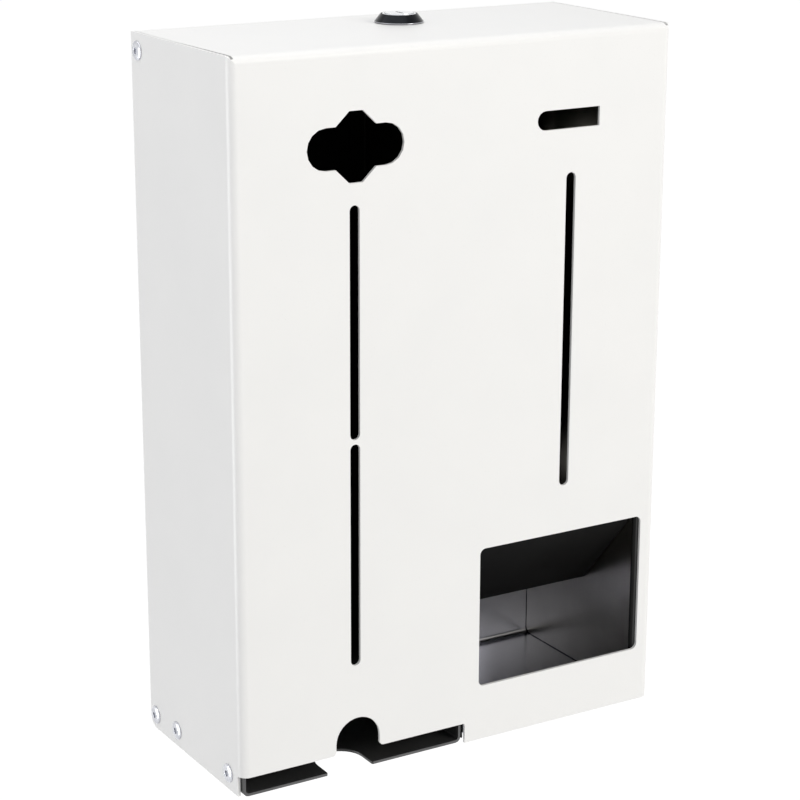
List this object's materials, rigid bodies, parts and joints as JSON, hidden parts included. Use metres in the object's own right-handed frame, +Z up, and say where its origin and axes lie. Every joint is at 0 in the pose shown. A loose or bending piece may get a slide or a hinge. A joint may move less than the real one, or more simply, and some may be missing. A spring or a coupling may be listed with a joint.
{
  "type": "sanitary pad dispenser",
  "caption": "Wall-hung sheet steel dispenser with a pad hopper emptied by hand at the foot, a tampon hopper emptied through a window, and a key-locked cover that swings forward.",
  "frame": {"origin": "centre of the underside of the whole dispenser, in the plane of its bottom edges", "axes": "+Z up, +Y towards the wall that it hangs on, -Y out of its front, +X to the right as seen from the front"},
  "size_m": [0.2488, 0.104, 0.3649],
  "materials": {
    "white_powder_coat": "fine-textured white powder coat on sheet steel, low sheen",
    "black_powder_coat": "smooth black powder coat on sheet steel, semi-gloss",
    "bright_zinc": "bright zinc plate on steel fasteners and sheet, glossy",
    "chrome_plate": "polished chrome plate",
    "natural_nylon": "natural nylon, matt"
  },
  "bodies": {
    "wall_plate": {"back_plate": "black_powder_coat", "strike_bracket": "bright_zinc", "strike_rivet_left": "bright_zinc", "strike_rivet_right": "bright_zinc", "hinge_pin_left": "bright_zinc", "hinge_pin_right": "bright_zinc", "hinge_nut_left": "bright_zinc", "hinge_nut_right": "bright_zinc", "hinge_washer_left": "natural_nylon", "hinge_washer_right": "natural_nylon"},
    "cover": {"cover_shell": "white_powder_coat", "pad_tray": "black_powder_coat", "divider": "black_powder_coat", "divider_rivet_front": "bright_zinc", "divider_rivet_rear": "bright_zinc", "tampon_tray": "bright_zinc", "tampon_side_wall": "black_powder_coat", "tampon_ramp": "black_powder_coat", "ramp_rivet_left_upper": "bright_zinc", "ramp_rivet_left_lower": "bright_zinc", "ramp_rivet_right_upper": "bright_zinc", "ramp_rivet_right_lower": "bright_zinc", "corner_bracket_left": "black_powder_coat", "corner_bracket_right": "black_powder_coat", "corner_screw_left": "bright_zinc", "corner_screw_right": "bright_zinc", "corner_nut_left": "bright_zinc", "corner_nut_right": "bright_zinc", "tray_screw_left_front": "bright_zinc", "tray_screw_left_rear": "bright_zinc", "tray_screw_right_front": "bright_zinc", "tray_screw_right_rear": "bright_zinc", "tray_nut_left_front": "bright_zinc", "tray_nut_left_rear": "bright_zinc", "tray_nut_right_front": "bright_zinc", "tray_nut_right_rear": "bright_zinc", "lock_collar": "chrome_plate", "lock_housing": "chrome_plate", "lock_washer": "bright_zinc", "lock_nut": "bright_zinc"},
    "lock": {"lock_plug": "chrome_plate", "lock_cam": "bright_zinc", "cam_washer": "bright_zinc", "cam_screw": "bright_zinc"}
  },
  "joints": [
    {"name": "cover_swing", "type": "hinge", "parent": "wall_plate", "child": "cover", "pos_m": [0, 0.0448, 0.0076], "axis": [1, 0, 0], "range_deg": [0, 45]},
    {"name": "lock_turn", "type": "hinge", "parent": "cover", "child": "lock", "pos_m": [0.0061, 0.0165, 0.345], "axis": [0, 0, -1], "range_deg": [0, 90]}
  ]
}
